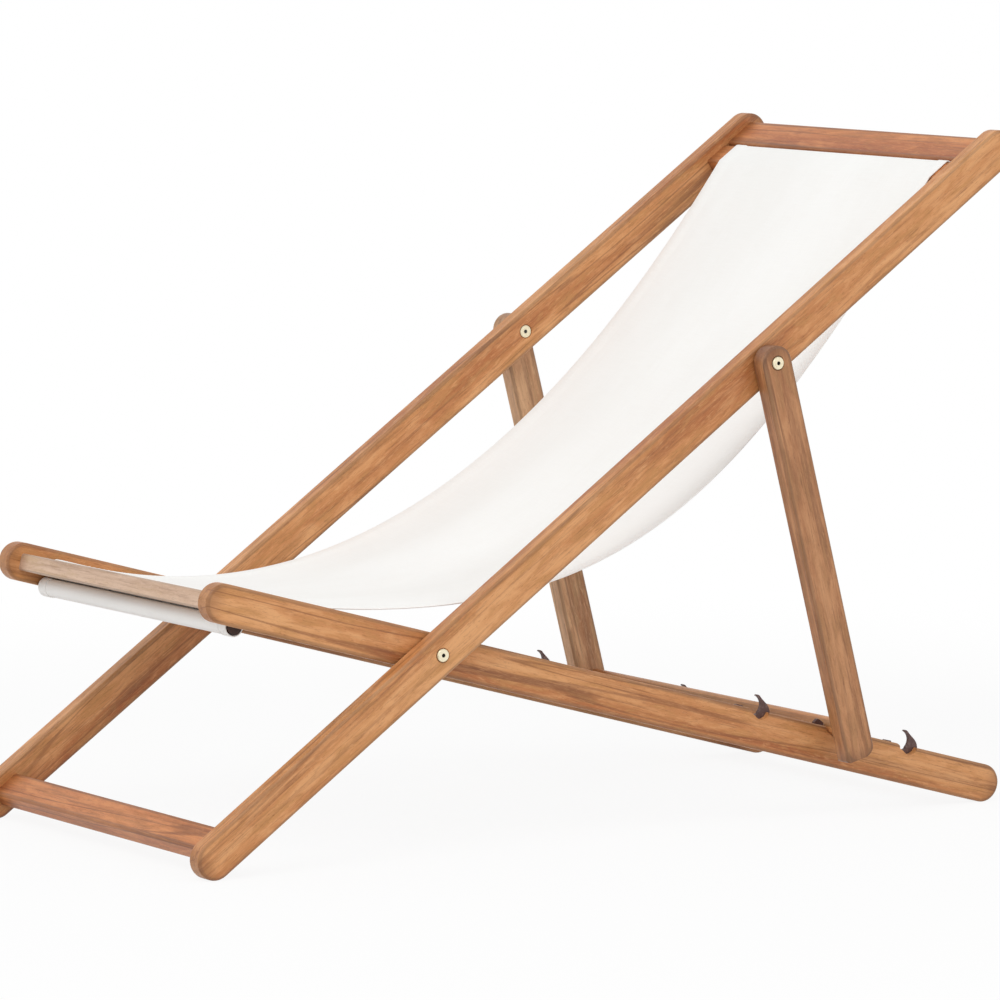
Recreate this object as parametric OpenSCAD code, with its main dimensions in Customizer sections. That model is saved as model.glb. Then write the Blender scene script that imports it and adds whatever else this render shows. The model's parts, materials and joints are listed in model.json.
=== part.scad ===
// Folding deck chair: a back frame, a seat frame and a prop frame of rounded
// hardwood rails, with a canvas sling hung between two slotted ends.
// X runs across the chair, -Y is the front, +Z is up, lengths are millimetres.

/* [Back frame] */
// Length of a back rail between the centres of its round ends
back_rail_len = 1297; // [1240:1:1400]
// Height of a back rail, seen from the side
back_rail_h = 45; // [40:1:50]
// Thickness of a back rail across the chair
back_rail_t = 22; // [20:1:28]
// Width over the outer faces of the two back rails
back_w = 544; // [460:2:640]
// Angle of the back rails above the floor
back_angle = 35.5; // [33:0.5:38]
// Rounding of the long edges of the rails
edge_r = 3; // [2:0.5:8]

/* [Seat frame] */
// Height of a seat rail, seen from the side
seat_rail_h = 45; // [40:1:50]
// Thickness of a seat rail across the chair
seat_rail_t = 22; // [20:1:28]
// Distance along a back rail from its foot centre to the seat pivot
seat_pivot_at = 357.5; // [345:0.5:375]
// Length of a seat rail from the seat pivot to the centre of its front end
seat_front_len = 276; // [240:1:290]
// Distance from the last notch's middle to the centre of a seat rail's rear end
seat_tail = 117; // [105:1:127]

/* [Prop frame] */
// Height of a prop arm, seen from the side
prop_arm_h = 40; // [36:1:45]
// Thickness of a prop arm across the chair
prop_arm_t = 22; // [20:1:28]
// Distance along a back rail from its foot centre to the prop pivot
prop_pivot_at = 892; // [885:1:900]
// Diameter of the round bar that rests in the notches
prop_bar_d = 22; // [20:0.5:24]
// How far a prop arm runs on below the bar
prop_arm_tail = 31; // [24:1:36]
// Rounding of the front corner at the foot of a prop arm
prop_toe_r = 4; // [2:0.5:8]
// Rounding of the rear corner at the foot of a prop arm
prop_heel_r = 15; // [9:0.5:18]
// How far the bar lies behind the middle line of a prop arm
bar_behind = 4.5; // [0:0.5:6]
// How deep the bar is let into each prop arm
prop_bar_seat = 12; // [8:0.5:16]

/* [Notches and latches] */
// Notch that the bar rests in, counted from the front
used_notch = 1; // [0, 1, 2]
// Distance from the seat pivot to the middle of the first notch
notch_first = 457; // [455:1:461]
// Distance from one notch to the next
notch_pitch = 109; // [105:1:112]
// Gap between the bar and the round pocket of a notch
notch_gap = 0.6; // [0.4:0.1:1]
// How far a notch opens to the front before its eased corner
notch_ramp = 1.6; // [0:0.2:2]
// Rounding of a notch's front corner
notch_ease = 5; // [2:0.5:5]
// Depth of a notch below the rail's upper edge
notch_depth = 10; // [9:0.5:11]
// Thickness of a latch
latch_t = 5; // [4:0.25:7]
// Gap on each side of a latch in its mortise
latch_side_gap = 0.6; // [0.3:0.1:1]
// Diameter of the pin that a latch turns on
latch_pin_d = 3; // [2.5:0.25:3.5]
// How far the bar in its notch turns a latch back
latch_held = 22; // [18:1:22]
// How much further a latch is turned back to let the bar out
latch_free = 8; // [6:1:9]
// Distance of a latch's pin in front of the notch's middle
latch_pin_in = 12.5; // [12:0.25:13]
// Distance of a latch's pin below the notch
latch_pin_below = 8; // [7:0.25:9]
// Gap between a latch and the bar in its notch
latch_gap = 0.4; // [0.3:0.05:0.8]
// Length of a latch's mortise in front of the notch's middle
mortise_front = 35; // [34.5:0.5:38]
// Length of a latch's mortise behind the notch's middle
mortise_rear = 25; // [24:0.5:27]
// Depth of a latch's mortise below its pin
mortise_deep = 13; // [10:0.5:15]
// Wood left between a latch's pin and the rail's outer face
latch_pin_cover = 3; // [2:0.5:6]

/* [Crosspieces] */
// Width of the stretcher between the feet
foot_bar_w = 37; // [34:1:44]
// Distance from a back rail's lower tip to the stretcher
foot_bar_inset = 23.5; // [22:0.5:30]
// Thickness of every crosspiece
bar_t = 20; // [16:1:22]
// Width of the slat across the top of the back
top_slat_w = 44; // [36:1:48]
// Distance from a back rail's upper tip to the top slat
top_slat_inset = 14.5; // [12:0.5:20]
// Width of the bar that the canvas comes over at the top
top_bar_w = 34; // [28:1:40]
// Width of the slat across the front of the seat
front_slat_w = 37; // [33:1:46]
// Width of the bar that the canvas comes over at the front
front_bar_w = 35; // [28:1:40]
// Gap between a slat and its bar, where the canvas passes
slot_w = 4; // [3:0.25:5]
// Distance from a seat rail's front tip to the front slat
front_slat_inset = 17.5; // [14:0.5:24]
// Width of the stretcher between the seat rails behind the notches
rear_bar_w = 42; // [34:1:44]
// Distance from a seat rail's rear tip to the rear stretcher
rear_bar_inset = 37.5; // [32:0.5:42]
// Rounding of a crosspiece's long edges
bar_edge_r = 3; // [1:0.5:5]

/* [Canvas sling] */
// Gap between the canvas and each seat rail
sling_side_gap = 5; // [4:0.5:12]
// Thickness of the canvas
canvas_t = 1.2; // [0.8:0.1:1.4]
// Diameter of the dowels in the canvas loops
sling_dowel_d = 18.5; // [14:0.5:21]
// How far a dowel reaches past the canvas on each side
dowel_over = 1.5; // [1:0.5:3.5]
// Length of the curve's front handle at the left edge and at the right edge
front_pull = [374, 447];
// Angle of the curve's front handle above the seat rail, left and right
front_rise = [0, 7];
// Length of the curve's rear handle at the left edge and at the right edge
rear_pull = [394, 474];
// Angle of the curve's rear handle behind the back rail
rear_lean = 18.5; // [15:0.5:21]
// How far the canvas sags further in the middle than at its edges
mid_sag = 9; // [0:1:15]
// Depth of the soft folds that run up the canvas
fold_depth = 3; // [0:0.5:5]

/* [Bolts and pins] */
// Diameter of a pivot bolt's head
bolt_head_d = 15; // [12:0.5:16]
// Height of a pivot bolt's head
bolt_head_t = 3.4; // [3:0.1:4]
// Diameter of a pivot bolt's shank
bolt_d = 6; // [5:0.5:6.5]
// Outer diameter of the barrel nut, which is the bearing of each pivot
nut_d = 9; // [8.5:0.25:10]
// Depth of the recess round a bolt head or a nut flange
recess_depth = 2; // [1.5:0.1:2.5]
// Extra radius of the recess round a head or a flange
recess_gap = 1.2; // [0.8:0.1:1.6]
// Thickness of the washers between the frames
washer_t = 1.5; // [1:0.25:2.5]
// Outer diameter of the washers between the frames
washer_d = 24; // [18:1:28]
// Diameter of the wooden pins in the joints
joint_pin_d = 8; // [6:0.5:9]
// Length of the wooden pins in the joints
joint_pin_len = 34; // [28:1:40]
// Radial clearance of a turning fit
turn_gap = 0.05; // [0.03:0.01:0.08]
// Clearance between soft or loose pieces and what they lie on
lay_gap = 0.3; // [0.25:0.05:0.4]

/* [Hidden] */
SIDES = ["left", "right"];
wood = [0.78, 0.52, 0.36];
pale_wood = [0.80, 0.68, 0.58];
canvas = [0.96, 0.95, 0.93];
plastic = [0.33, 0.25, 0.24];
brass = [0.85, 0.78, 0.62];
dark_wood = [0.26, 0.15, 0.08];
$fn = 96;

// Layers across the chair, from the canvas outwards
back_out = back_w / 2;
back_in = back_out - back_rail_t;
seat_out = back_in - washer_t;
seat_in = seat_out - seat_rail_t;
prop_in = back_out + washer_t;
prop_out = prop_in + prop_arm_t;
sling_half = seat_in - sling_side_gap;

// Places in side view: u runs to the rear and v runs up
foot_r = back_rail_h / 2;
seat_r = seat_rail_h / 2;
last_notch = 2;
seat_rear_len = notch_first + last_notch * notch_pitch + seat_tail;
seat_pivot_z = foot_r + seat_pivot_at * sin(back_angle);
seat_drop = asin((seat_pivot_z - seat_r) / seat_rear_len);
back_depth = 2 * foot_r + back_rail_len * cos(back_angle);
seat_pivot_y = foot_r + seat_pivot_at * cos(back_angle);
seat_depth = seat_pivot_y + seat_rear_len * cos(seat_drop) + seat_r;
centre_y = max(back_depth, seat_depth) / 2;

// A place in a frame: along its rails and square to them, as [y, z]
function turned(p, a) = [p.x * cos(a) - p.y * sin(a), p.x * sin(a) + p.y * cos(a)];
foot = [foot_r - centre_y, foot_r];
function in_back(p) = foot + turned(p, back_angle);
seat_pivot = in_back([seat_pivot_at, 0]);
prop_pivot = in_back([prop_pivot_at, 0]);
function in_seat(p) = seat_pivot + turned(p, -seat_drop);

// The bar in its notch, and the prop arm that reaches up from it to the pivot
notch_r = prop_bar_d / 2 + notch_gap;
notch_v = seat_r - notch_depth + notch_r;
function notch_u(i) = notch_first + i * notch_pitch;
bar_v = seat_r - notch_depth + prop_bar_d / 2 + lay_gap;
bar_at = in_seat([notch_u(used_notch), bar_v]);
prop_run = bar_at - prop_pivot;
prop_reach = norm(prop_run);
prop_len = sqrt(prop_reach * prop_reach - bar_behind * bar_behind);
prop_angle = atan2(prop_run.y, prop_run.x) - asin(bar_behind / prop_reach);

// Crosspieces, as places of their middles along the rails
foot_bar_u = foot_bar_inset - foot_r + foot_bar_w / 2;
top_slat_u = back_rail_len + foot_r - top_slat_inset - top_slat_w / 2;
top_slot_u = top_slat_u - top_slat_w / 2 - slot_w / 2;
top_bar_u = top_slot_u - slot_w / 2 - top_bar_w / 2;
front_end_u = -seat_front_len - seat_r + front_slat_inset;
front_slat_u = front_end_u + front_slat_w / 2;
front_slot_u = front_end_u + front_slat_w + slot_w / 2;
front_bar_u = front_slot_u + slot_w / 2 + front_bar_w / 2;
rear_bar_u = seat_rear_len + seat_r - rear_bar_inset - rear_bar_w / 2;

// The dowels lie under the slots, pulled up against the bars by the canvas, whose loops are
// drawn in short flats that all keep their gap from the dowel
loop_from = 125;
loop_sweep = 290;
loop_steps = 10;
loop_flat = loop_sweep / loop_steps;
loop_r = (sling_dowel_d / 2 + lay_gap + canvas_t / 2) / cos(loop_flat / 2);
dowel_v = -bar_t / 2 - lay_gap - canvas_t / 2 - loop_r;

// Latch, drawn about the bar's place in the notch
latch_pivot = [-latch_pin_in, seat_r - notch_depth - latch_pin_below];
latch_bite = prop_bar_d / 2 + latch_gap;
latch_x = seat_in + seat_rail_t / 2;
mortise_half = latch_t / 2 + latch_side_gap;
latch_pin_len = seat_rail_t - latch_pin_cover;

// Stands a shape drawn in side view up at a place: its u runs at angle a, its z runs along +X
module side_view(p, a) {
    translate([0, p.x, p.y])
        rotate([a, 0, 0])
            rotate([90, 0, 90])
                children();
}

module in_frame_of_back() {
    side_view(foot, back_angle) children();
}

module in_frame_of_seat() {
    side_view(seat_pivot, -seat_drop) children();
}

// A copy on the right, or its mirror image on the left
module on_side(side) {
    mirror([side == "left" ? 1 : 0, 0, 0]) children();
}

// Rectangle with rounded corners, centred
module rounded_rect(w, h, r) {
    square([w - 2 * r, h], center = true);
    square([w, h - 2 * r], center = true);
    for (x = [-1, 1], y = [-1, 1])
        translate([x * (w / 2 - r), y * (h / 2 - r)])
            circle(r);
}

// Half of a rounded rectangle, to the right of the axis
module half_profile(w, h, r) {
    intersection() {
        rounded_rect(w, h, r);
        translate([0, -h])
            square([w, 2 * h]);
    }
}

// Round end of a rail, with the rail's rounded edge carried round it
module rail_end(h, t, r) {
    rotate([0, 0, -90])
        rotate_extrude(angle = 180)
            half_profile(h, t, r);
}

// Straight stretch of a rail from u = a to u = b, centred in v and z
module rail_run(a, b, h, t, r) {
    translate([a, 0, 0])
        rotate([90, 0, 90])
            linear_extrude(height = b - a)
                rounded_rect(h, t, r);
}

// Rail with two round ends, centred on z = 0
module rail(a, b, h, t) {
    rail_run(a, b, h, t, edge_r);
    translate([b, 0, 0])
        rail_end(h, t, edge_r);
    translate([a, 0, 0])
        rotate([0, 0, 180])
            rail_end(h, t, edge_r);
}

// Round hole or pin along z, from z = a to z = b
module round_run(p, d, a, b) {
    translate([p.x, p.y, a])
        cylinder(d = d, h = b - a);
}

// Crosspiece between two faces, with its width along u and its thickness along v
module crosspiece(u, v, w, half) {
    translate([u, v, -half])
        linear_extrude(height = 2 * half)
            rounded_rect(w, bar_t, bar_edge_r);
}

// Places of the wooden pins that join a crosspiece w wide to a rail
function pin_places(u, v, w) = [for (k = [-1, 1]) [u + k * w / 4, v]];
back_pin_places = concat(pin_places(foot_bar_u, 0, foot_bar_w),
    pin_places(top_slat_u, 0, top_slat_w), pin_places(top_bar_u, 0, top_bar_w));
seat_pin_places = concat(pin_places(front_slat_u, 0, front_slat_w),
    pin_places(front_bar_u, 0, front_bar_w), pin_places(rear_bar_u, 0, rear_bar_w));

// The pins at one side, centred on the joint's face, swelled by grow
module joint_pins(places, face, grow) {
    reach = min(back_rail_t, seat_rail_t) * 0.6;
    for (p = places)
        round_run(p, joint_pin_d + 2 * grow, face - joint_pin_len + reach - grow,
            face + reach + grow);
}

module joint_pins_both(places, face, grow) {
    joint_pins(places, face, grow);
    mirror([0, 0, 1])
        joint_pins(places, face, grow);
}

// Back rails, each bored for the two pivots
module back_rail(side) {
    color(wood)
        on_side(side)
            in_frame_of_back()
                difference() {
                    translate([0, 0, (back_in + back_out) / 2])
                        rail(0, back_rail_len, back_rail_h, back_rail_t);
                    for (u = [seat_pivot_at, prop_pivot_at])
                        round_run([u, 0], nut_d + 2 * turn_gap, back_in - 1, back_out + 1);
                    round_run([seat_pivot_at, 0], bolt_head_d + 2 * recess_gap,
                        back_out - recess_depth, back_out + 1);
                    round_run([prop_pivot_at, 0], bolt_head_d + 2 * recess_gap,
                        back_in - 1, back_in + recess_depth);
                    joint_pins(back_pin_places, back_in, turn_gap);
                }
}

module back_crosspiece(u, w) {
    color(wood)
        in_frame_of_back()
            difference() {
                crosspiece(u, 0, w, back_in);
                joint_pins_both(pin_places(u, 0, w), back_in, turn_gap);
            }
}

module foot_stretcher() {
    back_crosspiece(foot_bar_u, foot_bar_w);
}

module top_slat() {
    back_crosspiece(top_slat_u, top_slat_w);
}

module top_sling_bar() {
    back_crosspiece(top_bar_u, top_bar_w);
}

// Dowel under the slot at u, a little longer than the canvas is wide
module sling_dowel(u) {
    half = sling_half + dowel_over;
    round_run([u, dowel_v], sling_dowel_d, -half, half);
}

module top_sling_dowel() {
    color(dark_wood)
        in_frame_of_back()
            sling_dowel(top_slot_u);
}

module back_joint_pins() {
    color(pale_wood)
        in_frame_of_back()
            joint_pins_both(back_pin_places, back_in, 0);
}

// Slot in a seat rail's upper edge that a latch works in, measured from the notch's middle
module mortise() {
    top = seat_r + 1;
    low = latch_pivot.y - mortise_deep;
    translate([-mortise_front, low, latch_x - mortise_half])
        cube([mortise_front + mortise_rear, top - low, 2 * mortise_half]);
}

// Notch in a seat rail's upper edge: a round pocket, opened to the front by a wall whose upper
// corner is eased
notch_toe = 50;
module notch() {
    top = seat_r + 1;
    front = -notch_r - notch_ramp;
    eased = [front - notch_ease, seat_r - notch_ease];
    toe = [-notch_r * cos(notch_toe), notch_v - notch_r * sin(notch_toe)];
    round_run([0, notch_v], 2 * notch_r, seat_in - 1, seat_out + 1);
    translate([0, 0, seat_in - 1])
        linear_extrude(height = seat_rail_t + 2)
            difference() {
                polygon([[eased.x, top], eased, [front, eased.y], toe, [0, toe.y], [0, top]]);
                translate(eased)
                    circle(notch_ease);
            }
}

// Seat rails, bored for the seat pivot, notched and mortised along the upper edge
module seat_rail(side) {
    color(wood)
        on_side(side)
            in_frame_of_seat()
                difference() {
                    translate([0, 0, latch_x])
                        rail(-seat_front_len, seat_rear_len, seat_rail_h, seat_rail_t);
                    round_run([0, 0], nut_d + 2 * turn_gap, seat_in - 1, seat_out + 1);
                    round_run([0, 0], bolt_head_d + 2 * recess_gap, seat_in - 1,
                        seat_in + recess_depth);
                    for (i = [0 : last_notch]) {
                        translate([notch_u(i), 0, 0]) {
                            notch();
                            mortise();
                        }
                        round_run([notch_u(i) + latch_pivot.x, latch_pivot.y],
                            latch_pin_d + 2 * turn_gap, seat_in - 1, seat_in + latch_pin_len);
                    }
                    joint_pins(seat_pin_places, seat_in, turn_gap);
                }
}

module seat_crosspiece(u, w) {
    in_frame_of_seat()
        difference() {
            crosspiece(u, 0, w, seat_in);
            joint_pins_both(pin_places(u, 0, w), seat_in, turn_gap);
        }
}

module front_slat() {
    color(pale_wood)
        seat_crosspiece(front_slat_u, front_slat_w);
}

module front_sling_bar() {
    color(wood)
        seat_crosspiece(front_bar_u, front_bar_w);
}

module rear_stretcher() {
    color(wood)
        seat_crosspiece(rear_bar_u, rear_bar_w);
}

module front_sling_dowel() {
    color(dark_wood)
        in_frame_of_seat()
            sling_dowel(front_slot_u);
}

module seat_joint_pins() {
    color(pale_wood)
        in_frame_of_seat()
            joint_pins_both(seat_pin_places, seat_in, 0);
}

// Prop arms, round at the pivot and square with eased corners at the foot
module prop_arm(side) {
    end = prop_len + prop_arm_tail;
    color(wood)
        on_side(side)
            side_view(prop_pivot, prop_angle)
                difference() {
                    translate([0, 0, (prop_in + prop_out) / 2]) {
                        rail_run(0, end - prop_heel_r, prop_arm_h, prop_arm_t, edge_r);
                        rotate([0, 0, 180])
                            rail_end(prop_arm_h, prop_arm_t, edge_r);
                        prop_foot(end);
                    }
                    round_run([0, 0], nut_d + 2 * turn_gap, prop_in - 1, prop_out + 1);
                    round_run([0, 0], bolt_head_d + 2 * recess_gap, prop_out - recess_depth,
                        prop_out + 1);
                    round_run([prop_len, bar_behind], prop_bar_d, prop_in - 1,
                        prop_in + prop_bar_seat);
                }
}

// Foot of a prop arm: the rail's profile, its front corner and its rear corner rounded in side
// view
module prop_foot(end) {
    half = prop_arm_h / 2;
    intersection() {
        rail_run(end - 2 * prop_heel_r, end, prop_arm_h, prop_arm_t, edge_r);
        translate([end - prop_heel_r, 0, -prop_arm_t])
            linear_extrude(height = 2 * prop_arm_t) {
                translate([-prop_heel_r, -half])
                    square([prop_heel_r, prop_arm_h]);
                translate([-1, -half])
                    square([prop_heel_r + 1 - prop_toe_r, half]);
                translate([-1, prop_toe_r - half])
                    square([prop_heel_r + 1, prop_arm_h - prop_toe_r - prop_heel_r]);
                translate([prop_heel_r - prop_toe_r, prop_toe_r - half])
                    circle(prop_toe_r);
                translate([0, half - prop_heel_r])
                    circle(prop_heel_r);
            }
    }
}

module prop_bar() {
    half = prop_in + prop_bar_seat;
    color(wood)
        side_view(prop_pivot, prop_angle)
            round_run([prop_len, bar_behind], prop_bar_d, -half, half);
}

// Outline of a closed latch about the notch's middle: a lip in front, a saddle and a claw over
// the notch, and a keel that carries the pin under the notch's front wall
latch_lip = [[-33, -5], [-32, 0], [-30, 1.2], [-22, 1.4], [-20.5, -4]];
latch_saddle = [[-17, -7], [-9, -7.5], [-4, -7]];
latch_claw = [[1, -4], [2, 2], [1.5, 7], [-1.5, 11.3], [-4.5, 14.2], [-6.3, 15.8], [-5.7, 17.2],
    [-4, 17.6], [-2, 17], [1.8, 14.3], [6, 11.8], [10.5, 9.2], [13.6, 6.6], [15.6, 4],
    [17, 1], [17, -5], [14, -12], [8, -19]];
latch_keel = [[0, -22.5], [-8, -24], [-16, -24], [-23, -19], [-30, -10]];
function latch_point(p) = [p.x, seat_r + p.y];

// Steps in which the bar's room is cut, from the latch that holds the bar to the open latch
latch_steps = 3;

module latch_body() {
    linear_extrude(height = latch_t) {
        difference() {
            polygon([for (p = concat(latch_lip, latch_saddle, latch_claw, latch_keel))
                latch_point(p)]);
            for (k = [0 : latch_steps])
                translate(latch_pivot + turned([0, bar_v] - latch_pivot,
                    latch_held + latch_free * k / latch_steps))
                    circle(latch_bite);
        }
    }
}

// A latch at notch i, turned back about its pin by tilt
module latch(side, i, tilt) {
    color(plastic)
        on_side(side)
            in_frame_of_seat()
                translate([notch_u(i) + latch_pivot.x, latch_pivot.y, latch_x - latch_t / 2])
                    rotate([0, 0, -tilt])
                        translate([-latch_pivot.x, -latch_pivot.y, 0])
                            difference() {
                                latch_body();
                                round_run(latch_pivot, latch_pin_d + 2 * turn_gap, -1,
                                    latch_t + 1);
                            }
}

module latch_pins() {
    color(brass)
        for (side = SIDES, i = [0 : last_notch])
            on_side(side)
                in_frame_of_seat()
                    round_run([notch_u(i) + latch_pivot.x, latch_pivot.y], latch_pin_d,
                        seat_in, seat_in + latch_pin_len);
}

// Pivot bolt with its head's outer face at z = 0 and its shank along +z
module bolt(len) {
    difference() {
        union() {
            cylinder(d1 = bolt_head_d - 1.6, d2 = bolt_head_d, h = 0.8);
            round_run([0, 0], bolt_head_d, 0.8, bolt_head_t);
            round_run([0, 0], bolt_d, 0, len);
        }
        round_run([0, 0], 4.6, -1, bolt_head_t - 0.6, $fn = 6);
    }
}

// Barrel nut with its flange's outer face at z = 0 and its barrel along +z
module barrel_nut(flange_t, len) {
    difference() {
        union() {
            round_run([0, 0], bolt_head_d, 0, flange_t);
            round_run([0, 0], nut_d, 0, len);
        }
        round_run([0, 0], bolt_d + 2 * turn_gap, -1, len + 1);
    }
}

head_proud = bolt_head_t - recess_depth + lay_gap;
flange_t = recess_depth - 2 * lay_gap;

// Bolt and nut of a pivot that clamps the layers from z = a to z = b
module pivot_bolt(a, b) {
    translate([0, 0, b + head_proud])
        mirror([0, 0, 1])
            bolt(b + head_proud - a - lay_gap);
}

module pivot_nut(a, b) {
    translate([0, 0, a + lay_gap])
        barrel_nut(flange_t, b - recess_depth - a - 2 * lay_gap);
}

module seat_bolt(side) {
    color(brass)
        on_side(side)
            side_view(seat_pivot, back_angle)
                pivot_bolt(seat_in, back_out);
}

module seat_nut(side) {
    color(brass)
        on_side(side)
            side_view(seat_pivot, back_angle)
                pivot_nut(seat_in, back_out);
}

module prop_bolt(side) {
    color(brass)
        on_side(side)
            side_view(prop_pivot, back_angle)
                pivot_bolt(back_in, prop_out);
}

module prop_nut(side) {
    color(brass)
        on_side(side)
            side_view(prop_pivot, back_angle)
                pivot_nut(back_in, prop_out);
}

// Washers between two layers, one a side
module pivot_washers(p, a, b) {
    color(brass)
        for (side = SIDES)
            on_side(side)
                side_view(p, back_angle)
                    difference() {
                        round_run([0, 0], washer_d, a, b);
                        round_run([0, 0], nut_d + 2 * turn_gap, a - 1, b + 1);
                    }
}

module seat_pivot_washers() {
    pivot_washers(seat_pivot, seat_out + turn_gap, back_in);
}

module prop_pivot_washers() {
    pivot_washers(prop_pivot, back_out, prop_in - turn_gap);
}

// Canvas: a strip that starts round the front dowel, comes up through the front slot,
// hangs in a curve to the top slot and ends round the top dowel
curve_steps = 33;
cross_steps = 9;
skin = bar_t / 2 + lay_gap + canvas_t / 2;

// Mixes a pair of left and right values at x = -1 to 1
function across(pair, x) = pair[0] + (pair[1] - pair[0]) * (x + 1) / 2;

function bezier(a, b, c, d, t) = pow(1 - t, 3) * a + 3 * pow(1 - t, 2) * t * b
    + 3 * (1 - t) * t * t * c + pow(t, 3) * d;

// The canvas's free curve at x, from over the front bar to over the top bar
function free_curve(x, t) = let (
        start = in_seat([front_bar_u + front_bar_w / 2 - bar_edge_r / 2, skin]),
        end = in_back([top_bar_u - top_bar_w / 2 + bar_edge_r / 2, skin]),
        rise = across(front_rise, x) - seat_drop,
        lean = back_angle + rear_lean,
        b = start + across(front_pull, x) * [cos(rise), sin(rise)],
        c = end - across(rear_pull, x) * [cos(lean), sin(lean)])
    bezier(start, b, c, end, t);

// Depth of the sag and the soft folds, square to the canvas
function slack(x, t) = let (swell = pow(sin(180 * t), 2))
    -swell * (mid_sag * (1 - x * x) + fold_depth * sin(400 * x + 150 * t) * (1 - 0.5 * x * x));

function unit(v) = v / norm(v);

function hung(x, t) = let (
        p = free_curve(x, t),
        run = unit(free_curve(x, min(1, t + 0.01)) - free_curve(x, max(0, t - 0.01))))
    p + slack(x, t) * [-run.y, run.x];

// Points round a dowel under a slot, from one side of the slot to the other
dowel_loop = [for (k = [0 : loop_steps])
    let (a = loop_from + loop_flat * k)
    [loop_r * cos(a), dowel_v + loop_r * sin(a)]];

// The canvas's centre line at x, as [y, z] points
front_loop = [for (p = dowel_loop) in_seat([front_slot_u, 0] + p)];
top_loop = [for (p = dowel_loop) in_back([top_slot_u, 0] + p)];
function reversed(list) = [for (k = [len(list) - 1 : -1 : 0]) list[k]];
function route(x) = concat(
    front_loop,
    [in_seat([front_slot_u, -bar_t / 2 - lay_gap]), in_seat([front_slot_u, bar_t / 2 - 2])],
    [in_seat([front_slot_u + slot_w, skin])],
    [for (k = [0 : curve_steps]) hung(x, k / curve_steps)],
    [in_back([top_slot_u - slot_w, skin])],
    [in_back([top_slot_u, bar_t / 2 - 2]), in_back([top_slot_u, -bar_t / 2 - lay_gap])],
    reversed(top_loop));

// Square to the route at point k
function route_side(r, k) = let (
        before = k > 0 ? unit(r[k] - r[k - 1]) : unit(r[1] - r[0]),
        after = k < len(r) - 1 ? unit(r[k + 1] - r[k]) : before,
        mean = unit(before + after),
        reach = 1 / max(0.6, mean * after))
    reach * [-mean.y, mean.x];

module canvas_sling() {
    columns = [for (j = [0 : cross_steps]) -1 + 2 * j / cross_steps];
    routes = [for (x = columns) route(x)];
    count = len(routes[0]);
    over = [for (j = [0 : cross_steps], k = [0 : count - 1])
        let (p = routes[j][k] + canvas_t / 2 * route_side(routes[j], k))
        [columns[j] * sling_half, p.x, p.y]];
    under = [for (j = [0 : cross_steps], k = [0 : count - 1])
        let (p = routes[j][k] - canvas_t / 2 * route_side(routes[j], k))
        [columns[j] * sling_half, p.x, p.y]];
    half = len(over);
    last = cross_steps * count;
    faces = concat(
        [for (j = [0 : cross_steps - 1], k = [0 : count - 2]) let (i = j * count + k)
            each [[i, i + 1, i + count], [i + 1, i + count + 1, i + count]]],
        [for (j = [0 : cross_steps - 1], k = [0 : count - 2]) let (i = half + j * count + k)
            each [[i, i + count, i + 1], [i + 1, i + count, i + count + 1]]],
        [for (k = [0 : count - 2])
            each [[k, half + k, k + 1], [k + 1, half + k, half + k + 1]]],
        [for (k = [0 : count - 2]) let (i = last + k)
            each [[i, i + 1, half + i], [i + 1, half + i + 1, half + i]]],
        [for (j = [0 : cross_steps - 1]) let (i = j * count)
            each [[i, i + count, half + i], [i + count, half + i + count, half + i]]],
        [for (j = [0 : cross_steps - 1]) let (i = j * count + count - 1)
            each [[i, half + i, i + count], [i + count, half + i, half + i + count]]]);
    color(canvas)
        polyhedron(concat(over, under), faces);
}

back_rail("left");  // back_rail_left
back_rail("right");  // back_rail_right
foot_stretcher();
top_slat();
top_sling_bar();
top_sling_dowel();
back_joint_pins();
seat_rail("left");  // seat_rail_left
seat_rail("right");  // seat_rail_right
front_slat();
front_sling_bar();
front_sling_dowel();
rear_stretcher();
seat_joint_pins();
prop_arm("left");  // prop_arm_left
prop_arm("right");  // prop_arm_right
prop_bar();
canvas_sling();
latch("left", 0, 0);  // latch_left_front
latch("left", 1, latch_held);  // latch_left_middle
latch("left", 2, 0);  // latch_left_rear
latch("right", 0, 0);  // latch_right_front
latch("right", 1, latch_held);  // latch_right_middle
latch("right", 2, 0);  // latch_right_rear
latch_pins();
seat_bolt("left");  // seat_bolt_left
seat_bolt("right");  // seat_bolt_right
seat_nut("left");  // seat_nut_left
seat_nut("right");  // seat_nut_right
prop_bolt("left");  // prop_bolt_left
prop_bolt("right");  // prop_bolt_right
prop_nut("left");  // prop_nut_left
prop_nut("right");  // prop_nut_right
seat_pivot_washers();
prop_pivot_washers();
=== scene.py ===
"""Folding deck chair: oiled hardwood frames, a white canvas sling, dark latches and pale bolts.

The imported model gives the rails, crosspieces, latches and fasteners, which are dressed here.
The sling, its hems and its stitching are modelled here, and hang where the frame's bars are.
"""
import json
import logging
import math
from dataclasses import dataclass, field
from enum import Enum
from functools import lru_cache
from typing import Any, Iterable, Mapping, Sequence

import bmesh
import bpy
from mathutils import Matrix, Vector


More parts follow.
